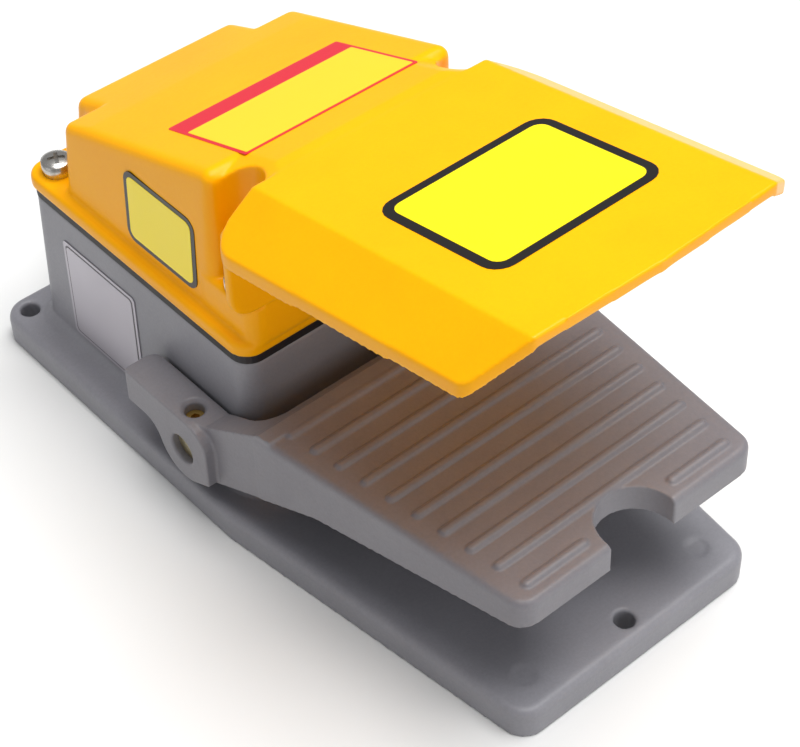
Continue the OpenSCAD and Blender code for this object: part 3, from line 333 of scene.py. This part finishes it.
plate_middle = (-49.85, 70.0, 35.5)
plate_up = (0.0104, 0, 1)
plate_size = (38.0, 39.0)
plate_corner = 1.5
for name, colour, less, foils in (("rating_plate", "#B5B1B8", 0, 2.0),
                                  ("rating_plate_line", "#5E5B60", 2.4, 2.4),
                                  ("rating_plate_field", "#B5B1B8", 3.4, 2.8)):
    stuck_field(name, colour, "base_paint", plate_middle, (0, -1, 0), plate_up,
                (plate_size[0] - less, plate_size[1] - less), plate_corner, foils * foil,
                roughness=0.38, metallic=0.6)

# Pedal
# The treadle, its ten rows of ribs and the two ears are one casting in the base's alloy, a little
# browner, worn smooth on the ribs.
pedal_spray = sprayed_casting("pedal_casting", "#828085", "#757278", 0.8, 0.05, 0.42, 0.5)
dress(casting_copy(["pedal"], "pedal_skin", 0.42, 2, 180000), pedal_spray, "pedal",
      "pedal_metal", "pedal")


# Cover gasket, shaft seals and cable seal
# Black rubber: a flat cord between cover and housing, two lipped rings round the shaft and a
# sleeve in the gland, all held by what clamps them.
def moulded(name, colour, roughness):
    """Plain rubber or plastic with a matt, finely grained skin."""
    grain_mm, grain_depth_mm, cloud_mm = 0.6, 0.02, 9.0
    material, tree, shader = new_material(name)
    place = add_node(tree, "ShaderNodeTexCoord").outputs["Object"]
    grain = add_node(tree, "ShaderNodeTexNoise", inputs={
        "Vector": place, "Scale": 1 / (grain_mm * MM), "Detail": 3.0})
    bump = add_node(tree, "ShaderNodeBump", inputs={
        "Height": grain.outputs["Fac"], "Distance": grain_depth_mm * MM})
    tree.links.new(bump.outputs["Normal"], shader.inputs["Normal"])
    cloud = add_node(tree, "ShaderNodeTexNoise", inputs={
        "Vector": place, "Scale": 1 / (cloud_mm * MM)})
    rough = add_node(tree, "ShaderNodeMapRange", inputs={
        "Value": cloud.outputs["Fac"], "To Min": roughness - 0.08, "To Max": roughness + 0.1})
    tree.links.new(rough.outputs["Result"], shader.inputs["Roughness"])
    shader.inputs["Base Color"].default_value = linear(colour)
    return material


def finish(material, *node_names):
    """Gives CAD nodes, kept as they are, their material."""
    for node_name in node_names:
        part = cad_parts[node_name].data
        part.materials.clear()
        part.materials.append(material)


finish(moulded("black_rubber", "#141014", 0.55), "cover_gasket", "shaft_seals", "gland_seal",
       "gland_washer", "stop_pad")


# Cover screws and spring washers
# Four nickel-plated pan heads with a cross recess, each on a split spring washer, hold the cover
# down on the gasket: two in the front pockets, two on the rear of the flange.
def machined(name, colour, roughness, tarnish="#6E675C"):
    """Plated or bare metal with fine tool marks along x and a little tarnish in patches."""
    streak_mm, streak_depth_mm, patch_mm = 0.25, 0.006, 2.5
    material, tree, shader = new_material(name)
    place = add_node(tree, "ShaderNodeTexCoord").outputs["Object"]
    squeezed = add_node(tree, "ShaderNodeMapping", inputs={"Vector": place, "Scale": (0.12, 1, 1)})
    marks = add_node(tree, "ShaderNodeTexNoise", inputs={
        "Vector": squeezed.outputs["Vector"], "Scale": 1 / (streak_mm * MM), "Detail": 2.0})
    bump = add_node(tree, "ShaderNodeBump", inputs={
        "Height": marks.outputs["Fac"], "Distance": streak_depth_mm * MM})
    tree.links.new(bump.outputs["Normal"], shader.inputs["Normal"])
    patch = add_node(tree, "ShaderNodeTexNoise", inputs={
        "Vector": place, "Scale": 1 / (patch_mm * MM), "Detail": 4.0})
    span = add_node(tree, "ShaderNodeMapRange", inputs={
        "Value": patch.outputs["Fac"], "From Min": 0.5, "From Max": 0.75, "To Max": 0.5})
    mix = add_node(tree, "ShaderNodeMix", {"data_type": "RGBA"}, {
        "Factor": span.outputs["Result"], "A": linear(colour), "B": linear(tarnish)})
    tree.links.new(mix.outputs["Result"], shader.inputs["Base Color"])
    rough = add_node(tree, "ShaderNodeMapRange", inputs={
        "Value": patch.outputs["Fac"], "To Min": roughness - 0.08, "To Max": roughness + 0.15})
    tree.links.new(rough.outputs["Result"], shader.inputs["Roughness"])
    shader.inputs["Metallic"].default_value = 1.0
    return material


def carved_copy(node_name, name, block_size, blocks):
    """A copy of a CAD node with blocks of one size cut out, each (centre in mm, turn about z)."""
    tool = bmesh.new()
    for centre, turned in blocks:
        place = Matrix.Translation(Vector(centre) * MM) @ Matrix.Rotation(turned, 4, "Z")
        bmesh.ops.create_cube(tool, size=1,
                              matrix=place @ Matrix.Diagonal((*(Vector(block_size) * MM), 1)))
    bmesh.ops.recalc_face_normals(tool, faces=tool.faces[:])
    tool_object = add_shape(name + "_tool", tool)
    piece = joined_copy([node_name], name)
    cut = piece.modifiers.new("cut", "BOOLEAN")
    cut.object = tool_object
    cut.operation = "DIFFERENCE"
    cut.solver = "EXACT"
    cut.use_self = True
    apply_modifiers(piece)
    bpy.data.objects.remove(tool_object)
    return piece


nickel = machined("nickel_plate", "#C9C6C1", 0.24)
head_r = 5.0
rear_drop = 13.7
low, high = (Vector(corner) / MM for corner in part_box("cover_screws"))
head_tops = []
for x, turned in ((low.x + head_r, 0.5), (high.x - head_r, 1.1)):
    head_tops.append((Vector((x, low.y + head_r, high.z)), turned))
    head_tops.append((Vector((x, high.y - head_r, high.z - rear_drop)), turned + 0.6))

cross_block = (5.4, 1.25, 3.4)
cross = [(top, turned + quarter) for top, turned in head_tops for quarter in (0, math.pi / 2)]
dress(carved_copy("cover_screws", "cover_screw_set", cross_block, cross), nickel, "root",
      "bright_steel", "cover_screws")

gap_block = (5.0, 0.7, 6.0)
gap_out = 4.0
gap_down = 4.0
gaps = [(top + Vector((gap_out * math.cos(turned), gap_out * math.sin(turned), -gap_down)), turned)
        for top, turned in head_tops]
dress(carved_copy("spring_washers", "spring_washer_set", gap_block, gaps), nickel, "root",
      "bright_steel", "spring_washers")

# Pivot shaft, bushes and set screws
# The bright steel shaft runs in sintered bronze bushes in the housing's side walls, and a
# hexagon-socket set screw in each ear clamps it.
finish(machined("bright_shaft", "#CFC39C", 0.3), "pivot_shaft")
finish(machined("bronze", "#B08A4A", 0.4), "pivot_bushes")
finish(machined("brass_screw", "#B99A58", 0.32), "set_screws", "terminal_screws",
       "switch_terminals", "earth_screw")

# Cam lever and snap switch
# Inside the housing a steel lever, clamped on the shaft, lifts the roller lever of a snap-action
# switch, whose black case is screwed to a bent zinc-plated bracket.
finish(machined("zinc_plate", "#B9BCBE", 0.34, tarnish="#8F8B7A"), "switch_bracket", "cam_lever",
       "cam_screw", "bracket_screws", "switch_screws", "switch_nuts", "switch_lever", "lever_pin",
       "roller_pin", "earth_washer")
finish(moulded("black_phenolic", "#1B1A1C", 0.38), "switch_case")
finish(moulded("red_plunger", "#7B1E1A", 0.4), "switch_plunger")
finish(moulded("white_nylon", "#D9D5C8", 0.42), "lever_roller")

# Return spring
# A cold-wound spring of oil-tempered wire stands between the cam lever and the bracket's tab and
# pushes the pedal back up.
spring_wire = machined("spring_wire", "#55534F", 0.36, tarnish="#2E2A26")
spring = joined_copy(["return_spring"], "return_spring_wire")
dress(spring, spring_wire, "root", "dark_steel", "return_spring")
low, high = (Vector(corner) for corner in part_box("return_spring"))
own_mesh(spring)

# Cable gland
# Body and cap nut are moulded in black nylon and screwed into the housing's rear wall.
finish(moulded("black_nylon", "#1D1D1F", 0.42), "gland_body", "gland_nut")
